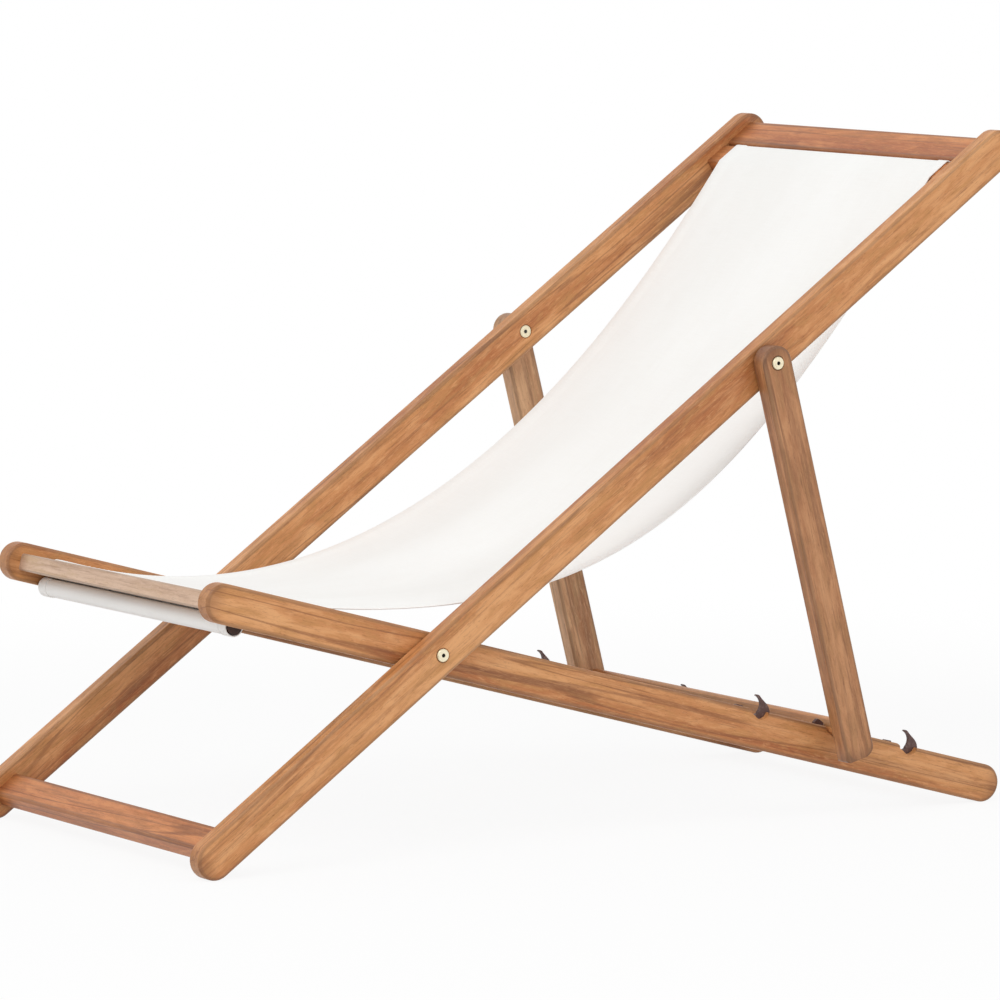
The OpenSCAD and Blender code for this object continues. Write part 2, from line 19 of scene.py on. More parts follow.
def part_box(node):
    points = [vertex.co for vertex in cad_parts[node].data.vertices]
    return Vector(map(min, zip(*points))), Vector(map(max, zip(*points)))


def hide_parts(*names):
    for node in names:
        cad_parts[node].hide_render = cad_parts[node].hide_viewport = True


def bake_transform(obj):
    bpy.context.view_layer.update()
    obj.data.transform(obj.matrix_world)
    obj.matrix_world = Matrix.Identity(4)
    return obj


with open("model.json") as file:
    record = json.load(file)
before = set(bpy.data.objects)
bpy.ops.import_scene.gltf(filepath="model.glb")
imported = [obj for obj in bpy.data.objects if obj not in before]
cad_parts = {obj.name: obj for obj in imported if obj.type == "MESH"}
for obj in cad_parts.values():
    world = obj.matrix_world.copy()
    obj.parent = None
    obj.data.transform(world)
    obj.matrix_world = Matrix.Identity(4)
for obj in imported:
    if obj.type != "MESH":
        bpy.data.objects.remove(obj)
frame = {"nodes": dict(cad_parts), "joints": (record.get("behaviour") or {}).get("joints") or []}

LOG = logging.getLogger("deck_chair")
MM = 0.001
Number = float | int
Colour = tuple[float, float, float, float]
BLACK: Colour = (0.0, 0.0, 0.0, 1.0)
WHITE: Colour = (1.0, 1.0, 1.0, 1.0)

# Places of a Mix node's colour sockets, which share their names with its other kinds.
MIX_SHARE, MIX_LOW, MIX_HIGH, MIX_RESULT = 0, 6, 7, 2

# How far a board's seed moves its pattern along each axis, in metres.
SEED_STEP = (0.37, 1.31, 0.73)


def srgb(red: int, green: int, blue: int) -> Colour:
    """Turns a display colour into the linear one that shaders take.

    Args:
        red: Red, from 0 to 255.
        green: Green, from 0 to 255.
        blue: Blue, from 0 to 255.

    Returns:
        The linear colour with full alpha.
    """
    def linear(value: int) -> float:
        """One channel's linear value."""
        share = value / 255
        return share / 12.92 if share <= 0.04045 else ((share + 0.055) / 1.055) ** 2.4
    return (linear(red), linear(green), linear(blue), 1.0)


class Signal:
    """A shader value that Python's arithmetic can be used on."""

    def __init__(self, graph: "Graph", socket: bpy.types.NodeSocket) -> None:
        """Wraps one output socket of a graph."""
        self.graph = graph
        self.socket = socket

    def __add__(self, other: "Signal | Number") -> "Signal":
        """Sum of two values."""
        return self.graph.math("ADD", self, other)

    def __radd__(self, other: Number) -> "Signal":
        """Sum with a number on the left."""
        return self.graph.math("ADD", other, self)

    def __sub__(self, other: "Signal | Number") -> "Signal":
        """Difference of two values."""
        return self.graph.math("SUBTRACT", self, other)

    def __rsub__(self, other: Number) -> "Signal":
        """Difference with a number on the left."""
        return self.graph.math("SUBTRACT", other, self)

    def __mul__(self, other: "Signal | Number") -> "Signal":
        """Product of two values."""
        return self.graph.math("MULTIPLY", self, other)

    def __rmul__(self, other: Number) -> "Signal":
        """Product with a number on the left."""
        return self.graph.math("MULTIPLY", other, self)

    def __truediv__(self, other: "Signal | Number") -> "Signal":
        """Quotient of two values."""
        return self.graph.math("DIVIDE", self, other)

    def __pow__(self, other: "Signal | Number") -> "Signal":
        """Power of a value."""
        return self.graph.math("POWER", self, other)

    def __abs__(self) -> "Signal":
        """Size of a value without its sign."""
        return self.graph.math("ABSOLUTE", self)

    def output(self, name: str | int) -> "Signal":
        """Another output of the node that this value comes from."""
        return Signal(self.graph, self.socket.node.outputs[name])

    def ramp(self, low: Number, high: Number) -> "Signal":
        """A smooth step of this value.

        Args:
            low: Value at which the step is 0.
            high: Value at which the step is 1.

        Returns:
            The step, from 0 to 1.
        """
        settings = {"interpolation_type": "SMOOTHSTEP"}
        places = {"Value": self, "From Min": low, "From Max": high}
        return self.graph.add("ShaderNodeMapRange", settings, places)


class Graph:
    """The node tree of one material or world."""

    def __init__(self, tree: bpy.types.NodeTree) -> None:
        """Empties the tree and keeps it."""
        self.tree = tree
        tree.nodes.clear()

    def add(self, kind: str, settings: Mapping[str, Any] | None = None,
            values: Mapping[str | int, Any] | None = None,
            output: str | int = 0) -> Signal | None:
        """Makes one node.

        Args:
            kind: The node's type.
            settings: Its properties, which are set first.
            values: Numbers, colours or signals for its sockets, by name or place.
            output: The socket to give back.

        Returns:
            The chosen output as a signal, or None for a node without outputs.
        """
        node = self.tree.nodes.new(kind)
        for name, value in (settings or {}).items():
            setattr(node, name, value)
        for name, value in (values or {}).items():
            if isinstance(value, Signal):
                self.tree.links.new(value.socket, node.inputs[name])
            else:
                node.inputs[name].default_value = value
        return Signal(self, node.outputs[output]) if node.outputs else None

    def math(self, operation: str, *values: "Signal | Number") -> Signal:
        """A Math node on one or two values."""
        return self.add("ShaderNodeMath", {"operation": operation}, dict(enumerate(values)))

    def vector(self, operation: str, *values: "Signal | Sequence[float]") -> Signal:
        """A Vector Math node on one or two vectors."""
        return self.add("ShaderNodeVectorMath", {"operation": operation},
                        dict(enumerate(values)))

    def split(self, vector: Signal) -> tuple[Signal, Signal, Signal]:
        """The three parts of a vector."""
        first = self.add("ShaderNodeSeparateXYZ", None, {0: vector})
        return first, first.output(1), first.output(2)

    def mix(self, low: "Signal | Colour", high: "Signal | Colour",
            share: "Signal | Number") -> Signal:
        """Mixes two colours.

        Args:
            low: Colour at share 0.
            high: Colour at share 1.
            share: The share of the second colour.

        Returns:
            The mixed colour.
        """
        settings = {"data_type": "RGBA", "blend_type": "MIX", "clamp_factor": True}
        sockets = {MIX_SHARE: share, MIX_LOW: low, MIX_HIGH: high}
        return self.add("ShaderNodeMix", settings, sockets, MIX_RESULT)

    def noise(self, place: Signal, scale: Sequence[float], detail: Number = 2,
              rough: Number = 0.5, bend: Number = 0) -> Signal:
        """Noise with its own number of waves a metre along each axis.

        Args:
            place: Where the noise is read.
            scale: Waves a metre along the three axes.
            detail: How many finer layers it has.
            rough: How strong the finer layers are.
            bend: How far it distorts itself.

        Returns:
            The noise, about 0.5 on average.
        """
        stretched = self.vector("MULTIPLY", place, tuple(scale))
        return self.add("ShaderNodeTexNoise", None, {
            "Vector": stretched, "Scale": 1.0, "Detail": detail, "Roughness": rough,
            "Distortion": bend})

    def bump(self, height: Signal, depth: Number, strength: Number = 1) -> Signal:
        """A bumped normal from a height between 0 and 1 and the real depth in metres."""
        return self.add("ShaderNodeBump", None,
                        {"Strength": strength, "Distance": depth, "Height": height})


def new_surface(name: str) -> tuple[bpy.types.Material, Graph]:
    """A material with an empty graph."""
    material = bpy.data.materials.new(name)
    material.use_nodes = True
    return material, Graph(material.node_tree)


def close_surface(graph: Graph, values: Mapping[str, Any]) -> None:
    """Ends a graph with a Principled shader that takes these values."""
    shader = graph.add("ShaderNodeBsdfPrincipled", None, values)
    graph.add("ShaderNodeOutputMaterial", None, {"Surface": shader})


def dress(piece: bpy.types.Object, material: bpy.types.Material) -> None:
    """Puts one material on every face of a piece."""
    slots = piece.material_slots
    if not slots:
        piece.data.materials.append(material)
    for place in slots:
        place.material = material


class Lay(Enum):
    """Which way the grain of a wooden piece runs."""

    RAIL = 0.0
    CROSS = math.pi / 2


@dataclass(frozen=True)
class Board:
    """Where one wooden piece lies, so that its grain follows it."""

    centre: Vector
    angle: float
    lay: Lay
    half_run: float
    half_deep: float
    half_thick: float
    seed: float

    def place(self, graph: Graph) -> Signal:
        """Object coordinates turned so that Y is the grain and the piece's middle is 0.

        Args:
            graph: The graph to add the nodes to.

        Returns:
            The turned place, in metres.
        """
        turn = (-self.angle, 0.0, self.lay.value)
        matrix = Matrix.Rotation(turn[2], 3, "Z") @ Matrix.Rotation(turn[0], 3, "X")
        shift = -(matrix @ self.centre)
        here = graph.add("ShaderNodeTexCoord", None, None, "Object")
        return graph.add("ShaderNodeMapping", {"vector_type": "POINT"},
                         {"Vector": here, "Rotation": turn, "Location": tuple(shift)})


class Grain(Enum):
    """The layers of noise that wood is made of.

    Each gives the waves a metre across the grain and along it, the number of finer layers,
    how strong these are, and how far the noise bends itself.
    """

    WARP = (9, 1.3, 2, 0.5, 0)
    TONE = (26, 1.8, 3, 0.55, 0.35)
    BANDS = (120, 3.4, 3, 0.6, 0.4)
    MOTTLE = (75, 16, 4, 0.62, 0.5)
    FLECKS = (330, 55, 3, 0.7, 0.3)
    STREAKS = (520, 15, 4, 0.65, 0.15)
    FIBRES = (1500, 60, 2, 0.6, 0)
    PORES = (2300, 160, 1, 0.5, 0)
    LINE = (46, 1.6, 1, 0.4, 0.3)

    def noise(self, graph: Graph, place: Signal) -> Signal:
        """This layer, read at a place."""
        across, along, detail, rough, bend = self.value
        return graph.noise(place, (across, along, across), detail, rough, bend)


@dataclass(frozen=True)
class Veil:
    """A colour laid over another where a noise passes from one level to a second."""

    colour: Colour
    noise: Signal
    bare: Number
    full: Number
    strength: Number = 1

    def over(self, graph: Graph, under: Signal) -> Signal:
        """The colour below, seen through this veil."""
        return graph.mix(under, self.colour, self.noise.ramp(self.bare, self.full) * self.strength)


@dataclass(frozen=True)
class Hardwood:
    """Oiled hardwood: warm bands, fine dark streaks, pores and a darker colour along the edges."""

    name: str
    light: Colour
    middle: Colour
    deep: Colour
    streak: Colour
    tan: Colour
    edge_dark: Colour
    lines: float = 0.5
    roughness: float = 0.46
    line_wide: tuple[float, float] = (0.006, 0.026)
    pit_strength: float = 0.55
    edge_power: int = 6
    edge_dark_strength: float = 0.42
    tip_long: float = 14 * MM
    tip_fade: float = 6 * MM
    tip_strength: float = 0.4
    grain_depth: float = 0.12 * MM

    def material(self, board: Board) -> bpy.types.Material:
        """Makes this finish for one piece.

        Args:
            board: Where the piece lies.

        Returns:
            The material.
        """
        material, graph = new_surface(f"{self.name}_{board.seed:03.0f}")
        here = board.place(graph)
        seeded = graph.vector("ADD", here, tuple(board.seed * step for step in SEED_STEP))
        across, along, deep = graph.split(here)
        warp, tone, bands, mottle, flecks, streaks, fibres, pores, line = (
            layer.noise(graph, seeded) for layer in Grain)

        colour = graph.mix(self.deep, self.middle, tone.ramp(0.28, 0.55))
        for veil in (Veil(self.light, tone * 0.5 + mottle * 0.5, 0.42, 0.64),
                     Veil(self.tan, mottle, 0.52, 0.36, 0.5),
                     Veil(self.streak, bands, 0.5, 0.3, 0.42),
                     Veil(self.streak, streaks, 0.47, 0.3, 0.42),
                     Veil(self.light, flecks, 0.54, 0.7, 0.45),
                     Veil(self.streak, flecks, 0.45, 0.3, 0.24)):
            colour = veil.over(graph, colour)
        dark_line = (1 - abs(line - 0.5).ramp(*self.line_wide)) * warp.ramp(0.4, 0.56)
        colour = graph.mix(colour, self.streak, dark_line * self.lines)
        colour = Veil(self.light, fibres, 0.52, 0.76, 0.42).over(graph, colour)
        pit = pores.ramp(0.34, 0.24)
        colour = graph.mix(colour, self.streak, pit * self.pit_strength)

        # The rim runs along both edges and round the rounded ends.
        past = graph.math("MAXIMUM", abs(along) - (board.half_run - board.half_deep), 0.0)
        rim = (past ** 2 + deep ** 2) ** 0.5 / board.half_deep
        edge = (abs(across) / board.half_thick * rim) ** self.edge_power
        # The colour darkens along the long edges and round the ends, by a mask on the piece's
        # shape.
        edge_darkening = (edge * (0.6 + warp)).ramp(0.2, 0.5)
        tip = (abs(along) + warp * 0.02).ramp(board.half_run - self.tip_long,
                                              board.half_run + self.tip_fade)
        colour = graph.mix(colour, self.edge_dark, edge_darkening * self.edge_dark_strength)
        colour = graph.mix(colour, self.streak, tip * self.tip_strength)

        height = streaks * 0.5 + fibres * 0.3 - pit * 0.6
        close_surface(graph, {
            "Base Color": colour,
            "Roughness": self.roughness + pit * 0.2 + (streaks - 0.5) * 0.25,
            "IOR": 1.46,
            "Coat Weight": 0.06 + edge_darkening * 0.05,
            "Coat Roughness": 0.3,
            "Normal": graph.bump(height, self.grain_depth, 0.5)})
        return material


@dataclass(frozen=True)
class Canvas:
    """White woven canvas, matt, with its threads in the bump."""

    face: Colour = srgb(252, 252, 250)
    shade: Colour = srgb(246, 245, 242)
    pitch: float = 0.8 * MM
    fuzz_waves: float = 3000
    slub_waves: tuple[float, float] = (900, 30)
    cloud_waves: tuple[float, float] = (7, 3)
    weave_depth: float = 0.10 * MM

    def material(self, thread: bool = False) -> bpy.types.Material:
        """Makes this finish.

        Args:
            thread: Whether it is for the sewing thread, which has no weave.

        Returns:
            The material.
        """
        material, graph = new_surface("sewing_thread" if thread else "white_canvas")
        if thread:
            here = graph.add("ShaderNodeTexCoord", None, None, "Object")
            fuzz = graph.noise(here, (self.fuzz_waves,) * 3, 2)
            close_surface(graph, {
                "Base Color": graph.mix(self.shade, self.face, fuzz.ramp(0.3, 0.6)),
                "Roughness": 0.75})
            return material
        here = graph.add("ShaderNodeTexCoord", None, None, "UV")
        across, along, _ = graph.split(here)
        step = math.pi / self.pitch
        warp = graph.math("SINE", across * step)
        weft = graph.math("SINE", along * step)
        over = warp * weft
        weave = graph.mix(BLACK, WHITE,
                          over.ramp(-0.6, 0.6) * abs(warp) + over.ramp(0.6, -0.6) * abs(weft))
        thin, long = self.slub_waves
        slub = (graph.noise(here, (thin, long, 1), 2) * 0.5
                + graph.noise(here, (long, thin, 1), 2) * 0.5)
        cloud = graph.noise(here, (*self.cloud_waves, 1), 3)
        level = cloud.ramp(0.3, 0.7) * 0.6 + slub.ramp(0.35, 0.65) * 0.4
        close_surface(graph, {
            "Base Color": graph.mix(self.shade, self.face, level),
            "Roughness": 0.86,
            "Sheen Weight": 0.12,
            "Sheen Roughness": 0.5,
            "Specular IOR Level": 0.25,
            "Normal": graph.bump(weave, self.weave_depth, 0.35)})
        return material


@dataclass(frozen=True)
class Plastic:
    """Dark moulded plastic with a fine grain and rubbed spots."""

    dark: Colour = srgb(86, 60, 56)
    rubbed: Colour = srgb(114, 90, 84)
    grain_waves: float = 1400
    rub_waves: float = 160
    grain_depth: float = 0.03 * MM

    def material(self) -> bpy.types.Material:
        """Makes this finish."""
        material, graph = new_surface("latch_plastic")
        here = graph.add("ShaderNodeTexCoord", None, None, "Object")
        grain = graph.noise(here, (self.grain_waves,) * 3, 3)
        rub = graph.noise(here, (self.rub_waves,) * 3, 3, 0.6)
        close_surface(graph, {
            "Base Color": graph.mix(self.dark, self.rubbed, rub.ramp(0.45, 0.7)),
            "Roughness": 0.42 + grain * 0.2,
            "Normal": graph.bump(grain, self.grain_depth, 0.5)})
        return material


@dataclass(frozen=True)
class PaleBrass:
    """Pale plated brass, tarnished at the rim, with painted shade on the recessed socket in its
    middle.
    """

    bright: Colour = srgb(240, 230, 200)
    tarnish: Colour = srgb(176, 150, 104)
    # Painted shade: the dark colour laid on the socket in the middle, standing for the shade
    # inside its recess.
    socket: Colour = srgb(38, 32, 28)
    rim_radius: float = 7.5 * MM
    rim_wide: float = 1.2 * MM
    socket_radius: float = 2.3 * MM
    socket_soft: float = 0.3 * MM
    stain_waves: float = 260
    mark_waves: tuple[float, float, float] = (2400, 5200, 5200)
    mark_depth: float = 0.01 * MM
    metallic: float = 0.55

    def material(self, name: str, axis: Vector) -> bpy.types.Material:
        """Makes this finish for the pieces on one axis.

        Args:
            name: The material's name.
            axis: Where the pieces' axis is, as y and z.

        Returns:
            The material.
        """
        material, graph = new_surface(name)
        here = graph.add("ShaderNodeTexCoord", None, None, "Object")
        _, y, z = graph.split(here)
        radius = ((y - axis.x) ** 2 + (z - axis.y) ** 2) ** 0.5
        # Mask of the painted socket shade: dark and not metallic inside the socket's radius.
        socket_shade_mask = radius.ramp(self.socket_radius + self.socket_soft,
                           self.socket_radius - self.socket_soft)
        rim = radius.ramp(self.rim_radius - self.rim_wide, self.rim_radius)
        stain = graph.noise(here, (self.stain_waves,) * 3, 4, 0.6)
        marks = graph.noise(here, self.mark_waves, 2)
        colour = graph.mix(self.bright, self.tarnish, stain.ramp(0.5, 0.85) * 0.6 + rim * 0.4)
        close_surface(graph, {
            "Base Color": graph.mix(colour, self.socket, socket_shade_mask),
            "Metallic": self.metallic - socket_shade_mask * self.metallic,
            "Roughness": 0.32 + stain * 0.2,
            "Normal": graph.bump(marks, self.mark_depth, 0.5)})
        return material


WARM = Hardwood("hardwood", srgb(221, 162, 108), srgb(196, 129, 75), srgb(165, 94, 48),
                srgb(110, 60, 30), srgb(192, 141, 84), srgb(112, 84, 58))
PALE = Hardwood("pale_hardwood", srgb(216, 185, 160), srgb(202, 170, 144), srgb(184, 147, 119),
                srgb(140, 102, 78), srgb(200, 169, 132), srgb(150, 130, 112), lines=0.3)
SLAT = Hardwood("slat_hardwood", srgb(211, 139, 84), srgb(184, 108, 58), srgb(154, 79, 37),
                srgb(104, 52, 24), srgb(180, 119, 65), srgb(106, 72, 46))
# Painted light and shade: the prop arms share one wood, in a lit, lighter copy for the left arm
# and a shaded, darker copy for the right arm.
LIT_ARM = Hardwood("lit_arm_hardwood", srgb(219, 174, 131), srgb(188, 137, 97),
                     srgb(157, 103, 64), srgb(105, 66, 40), srgb(188, 152, 107),
                     srgb(107, 88, 70))
SHADED_ARM = Hardwood("shaded_arm_hardwood", srgb(196, 142, 98), srgb(168, 112, 72), srgb(140, 84, 48),
               srgb(94, 54, 30), srgb(168, 124, 80), srgb(96, 72, 52))
# Painted shade: the sling dowels' wood is made near-black brown for the shade they sit in, under
# the rails and inside the canvas loops.
SHADED_DOWEL = Hardwood("dark_dowel", srgb(88, 50, 27), srgb(71, 39, 20), srgb(54, 27, 12),
                srgb(34, 16, 8), srgb(78, 46, 24), srgb(62, 40, 26), lines=0.3)


@dataclass
class SideView:
    """The places in side view that every sub-assembly is set out from, read off the frame."""

    joints: Mapping[str, Mapping[str, Any]]
    bar_behind: float = 4.5 * MM

    def pivot(self, joint: str) -> Vector:
        """Where a joint is, as y and z."""
        _, y, z = self.joints[joint]["pos_m"]
        return Vector((y, z))

    @property
    def back_angle(self) -> float:
        """Angle of the back rails above the floor: both pivots lie on their middle line."""
        run = self.pivot("prop_fold") - self.pivot("seat_fold")
        return math.atan2(run.y, run.x)

    @property
    def seat_angle(self) -> float:
        """Angle of the seat rails: the latches' pins lie along them."""
        run = self.pivot("latch_right_rear_tilt") - self.pivot("latch_right_front_tilt")
        return math.atan2(run.y, run.x)

    @property
    def prop_angle(self) -> float:
        """Angle of the prop arms, whose middle line passes in front of the bar."""
        run = middle("prop_bar") - self.pivot("prop_fold")
        return math.atan2(run.y, run.x) - math.asin(self.bar_behind / run.length)


@lru_cache(maxsize=None)
def middle(node: str) -> Vector:
    """The middle of a node's box, as y and z."""
    low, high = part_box(node)
    return Vector(((low.y + high.y) / 2, (low.z + high.z) / 2))


def turned(point: Vector, angle: float) -> Vector:
    """A side-view point turned about zero."""
    return Vector((point.x * math.cos(angle) - point.y * math.sin(angle),
                   point.x * math.sin(angle) + point.y * math.cos(angle)))


@dataclass
class WoodFrame:
    """Rails on each side, joined by crosspieces, all dressed in wood that follows each piece."""

    rails: Mapping[str, Hardwood]
    crosspieces: Mapping[str, Hardwood]
    angle: float
    first_seed: int
    rail_deep: float = 22.5 * MM
    rail_thick: float = 11 * MM
    cross_deep: float = 10 * MM

    def board(self, node: str, lay: Lay, seed: int) -> Board:
        """Works out where a node lies from its box.

        Args:
            node: The node's name.
            lay: Which way its grain runs.
            seed: The number that gives it its own pattern.

        Returns:
            The node's board.
        """
        low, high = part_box(node)
        size = high - low
        if lay is Lay.CROSS:
            across = size.y - 2 * self.cross_deep * abs(math.sin(self.angle))
            return Board((low + high) / 2, self.angle, lay, size.x / 2,
                         self.cross_deep, across / 2 / abs(math.cos(self.angle)), seed)
        run = (size.z - 2 * self.rail_deep) / abs(math.sin(self.angle)) + 2 * self.rail_deep
        return Board((low + high) / 2, self.angle, lay, run / 2, self.rail_deep,
                     self.rail_thick, seed)

    def finish(self, nodes: Mapping[str, bpy.types.Object]) -> None:
        """Dresses the rails and crosspieces."""
        pieces = [(name, wood, Lay.RAIL) for name, wood in self.rails.items()]
        pieces += [(name, wood, Lay.CROSS) for name, wood in self.crosspieces.items()]
        for seed, (name, wood, lay) in enumerate(pieces, self.first_seed):
            dress(nodes[name], wood.material(self.board(name, lay, seed)))
            LOG.info("dressed %s", name)


@dataclass
class Fittings:
    """Latches, bolts, nuts, washers and pins."""

    latches: Sequence[str]
    metal: Sequence[str]
    view: SideView

    def finish(self, nodes: Mapping[str, bpy.types.Object]) -> None:
        """Dresses the plastic and metal pieces."""
        plastic = Plastic().material()
        for name in self.latches:
            dress(nodes[name], plastic)
            LOG.info("dressed %s", name)
        brass = {"prop": PaleBrass().material("prop_pivot_brass", self.view.pivot("prop_fold")),
                 "seat": PaleBrass().material("seat_pivot_brass", self.view.pivot("seat_fold"))}
        for name in self.metal:
            dress(nodes[name], brass["prop" if name.startswith("prop") else "seat"])
            LOG.info("dressed %s", name)


@dataclass
class Sling:
    """The canvas: a loop round each dowel, up through the slots and a hanging curve between.

    Angles are in degrees. A pair of pulls, rises or waves is for the left and right edge,
    or, for fold_waves, for the way across and the way along.
    """

    view: SideView
    half_width: float = 221.5 * MM
    thick: float = 0.8 * MM
    lie: float = 0.9 * MM
    bar_thick: float = 20 * MM
    bar_edge: float = 3 * MM
    slot_wide: float = 4 * MM
    loop_radius: float = 10.48 * MM
    loop_from: float = 112.0
    loop_sweep: float = 300.0
    loop_steps: int = 36
    bend_steps: int = 8
    front_bar: float = 35 * MM
    top_bar: float = 34 * MM
    front_pull: tuple[float, float] = (374 * MM, 447 * MM)
    front_rise: tuple[float, float] = (0.0, 7.0)
    rear_pull: tuple[float, float] = (394 * MM, 474 * MM)
    rear_lean: float = 18.5
    mid_sag: float = 9 * MM
    fold_depth: float = 3 * MM
    fold_waves: tuple[float, float] = (400.0, 150.0)
    hem: float = 17 * MM
    hem_clear: float = 4 * MM
    layer: float = 0.85 * MM
    blend_up: float = 0.05
    blend_back: float = 0.10
    blend_front: float = 0.25
    curve_steps: int = 170
    face_steps: int = 56
    hem_steps: int = 4
    turn_steps: int = 4
    stitch_in: float = 13 * MM
    stitch_pitch: float = 4.6 * MM
    stitch_long: float = 3.6 * MM
    stitch_thick: float = 0.55 * MM
    routes: dict[float, list[tuple[Vector, float]]] = field(default_factory=dict)

    def from_slot(self, dowel: str, angle: float, u: float, v: float) -> Vector:
        """A place measured along and square to the bars, from the slot above a dowel."""
        rise = self.bar_thick / 2 + self.lie + self.loop_radius
        return middle(dowel) + turned(Vector((0, rise)), angle) + turned(Vector((u, v)), angle)

    def in_seat(self, u: float, v: float) -> Vector:
        """A place in the seat frame, measured from the front slot's middle."""
        return self.from_slot("front_sling_dowel", self.view.seat_angle, u, v)

    def in_back(self, u: float, v: float) -> Vector:
        """A place in the back frame, measured from the top slot's middle."""
        return self.from_slot("top_sling_dowel", self.view.back_angle, u, v)

    def mouth(self) -> list[tuple[float, float, float]]:
        """The end of the canvas, from the loop's tail to the middle of the bar it lies on.

        Returns:
            Points as distance from the slot towards the bar, height above the bars' middle,
            and how far the double hem has moved to the upper side, from 0 to 1.
        """
        dowel = -self.bar_thick / 2 - self.lie - self.loop_radius
        points = []
        for k in range(self.loop_steps + 1):
            angle = math.radians(self.loop_from + self.loop_sweep * k / self.loop_steps)
            points.append((self.loop_radius * math.cos(angle),
                           dowel + self.loop_radius * math.sin(angle), 0.0))
        # Three points lead the cloth from the loop up into the slot.
        inside = self.slot_wide / 2 - self.lie
        low = -self.bar_thick / 2
        points.append((inside + 1.2 * MM, low - 1.0 * MM, 0.4))
        points.append((inside, low + 2 * MM, 0.9))
        points.append((inside, 0.0, 1.0))
        bend = self.bar_edge + self.lie
        for k in range(self.bend_steps + 1):
            angle = math.radians(180 - 90 * k / self.bend_steps)
            points.append((self.slot_wide / 2 + self.bar_edge + bend * math.cos(angle),
                           self.bar_thick / 2 - self.bar_edge + bend * math.sin(angle), 1.0))
        return points

    def free(self, side: float, t: float) -> Vector:
        """The hanging curve.

        Args:
            side: Place across the canvas, from -1 at the left to 1.
            t: Place along the curve, from 0 at the front bar to 1 at the top bar.

        Returns:
            The place, as y and z.
        """
        def across(pair: tuple[float, float]) -> float:
            """Mixes a left and a right value."""
            return pair[0] + (pair[1] - pair[0]) * (side + 1) / 2
        skin = self.bar_thick / 2 + self.lie
        start = self.in_seat(self.slot_wide / 2 + self.front_bar - self.bar_edge / 2, skin)
        end = self.in_back(-self.slot_wide / 2 - self.top_bar + self.bar_edge / 2, skin)
        rise = math.radians(across(self.front_rise)) + self.view.seat_angle
        lean = self.view.back_angle + math.radians(self.rear_lean)
        leave = start + across(self.front_pull) * Vector((math.cos(rise), math.sin(rise)))
        reach = end - across(self.rear_pull) * Vector((math.cos(lean), math.sin(lean)))
        s = 1 - t
        return s ** 3 * start + 3 * s * s * t * leave + 3 * s * t * t * reach + t ** 3 * end

    def hung(self, side: float, t: float) -> Vector:
        """The hanging curve with its sag and soft folds, as y and z."""
        run = self.free(side, min(1, t + 0.01)) - self.free(side, max(0, t - 0.01))
        run.normalize()
        swell = math.sin(math.pi * t) ** 2
        across, along = self.fold_waves
        fold = math.sin(math.radians(across * side + along * t)) * (1 - 0.5 * side * side)
        sag = -swell * (self.mid_sag * (1 - side * side) + self.fold_depth * fold)
        return self.free(side, t) + sag * Vector((-run.y, run.x))

    def route(self, side: float) -> list[tuple[Vector, float]]:
        """The canvas's middle line at one place across it.

        Args:
            side: Place across the canvas, from -1 at the left to 1.

        Returns:
            Points in side view, each with the share by which a double hem moves up.
        """
        if side not in self.routes:
            mouth = self.mouth()
            front = [(self.in_seat(u, v), lift) for u, v, lift in mouth]
            top = [(self.in_back(-u, v), lift) for u, v, lift in mouth]
            hang = [(self.hung(side, k / self.curve_steps), 1.0)
                    for k in range(self.curve_steps + 1)]
            self.routes[side] = front + hang + top[::-1]
        return self.routes[side]

    @staticmethod
    def normals(points: Sequence[Vector]) -> list[Vector]:
        """Unit normals of a line of side-view points."""
        found = []
        last = len(points) - 1
        for k in range(last + 1):
            run = (points[min(k + 1, last)] - points[max(k - 1, 0)]).normalized()
            found.append(Vector((-run.y, run.x)))
        return found

    def profile(self) -> list[tuple[float, float, float]]:
        """The cloth's cross-section, from one raw edge to the other.

        Returns:
            For each column its place across the chair, the height above the middle line in
            layers as seen where the hem has moved up, and its distance along the flat cloth.
        """
        turn = self.layer / 2
        half = []
        for k in range(self.hem_steps):
            x = self.half_width - self.hem + (self.hem - turn) * k / self.hem_steps
            half.append((x, 0.0))
        for k in range(self.turn_steps + 1):
            angle = math.pi * (k / self.turn_steps - 0.5)
            half.append((self.half_width - turn + turn * math.cos(angle),
                         0.5 + 0.5 * math.sin(angle)))
        for step in (0.5, 1.0):
            half.append((self.half_width - turn - (self.hem - turn) * step, 1.0))
        inner = self.half_width - self.hem - self.hem_clear
        half.append((inner, 0.0))
        face = [(inner - 2 * inner * k / self.face_steps, 0.0)
                for k in range(1, self.face_steps)]
        line = half + face + [(-x, height) for x, height in reversed(half)]
        flat = [0.0]
        for (x0, h0), (x1, h1) in zip(line, line[1:]):
            flat.append(flat[-1] + math.hypot(x1 - x0, (h1 - h0) * self.layer))
        return [(x, height, run) for (x, height), run in zip(line, flat)]

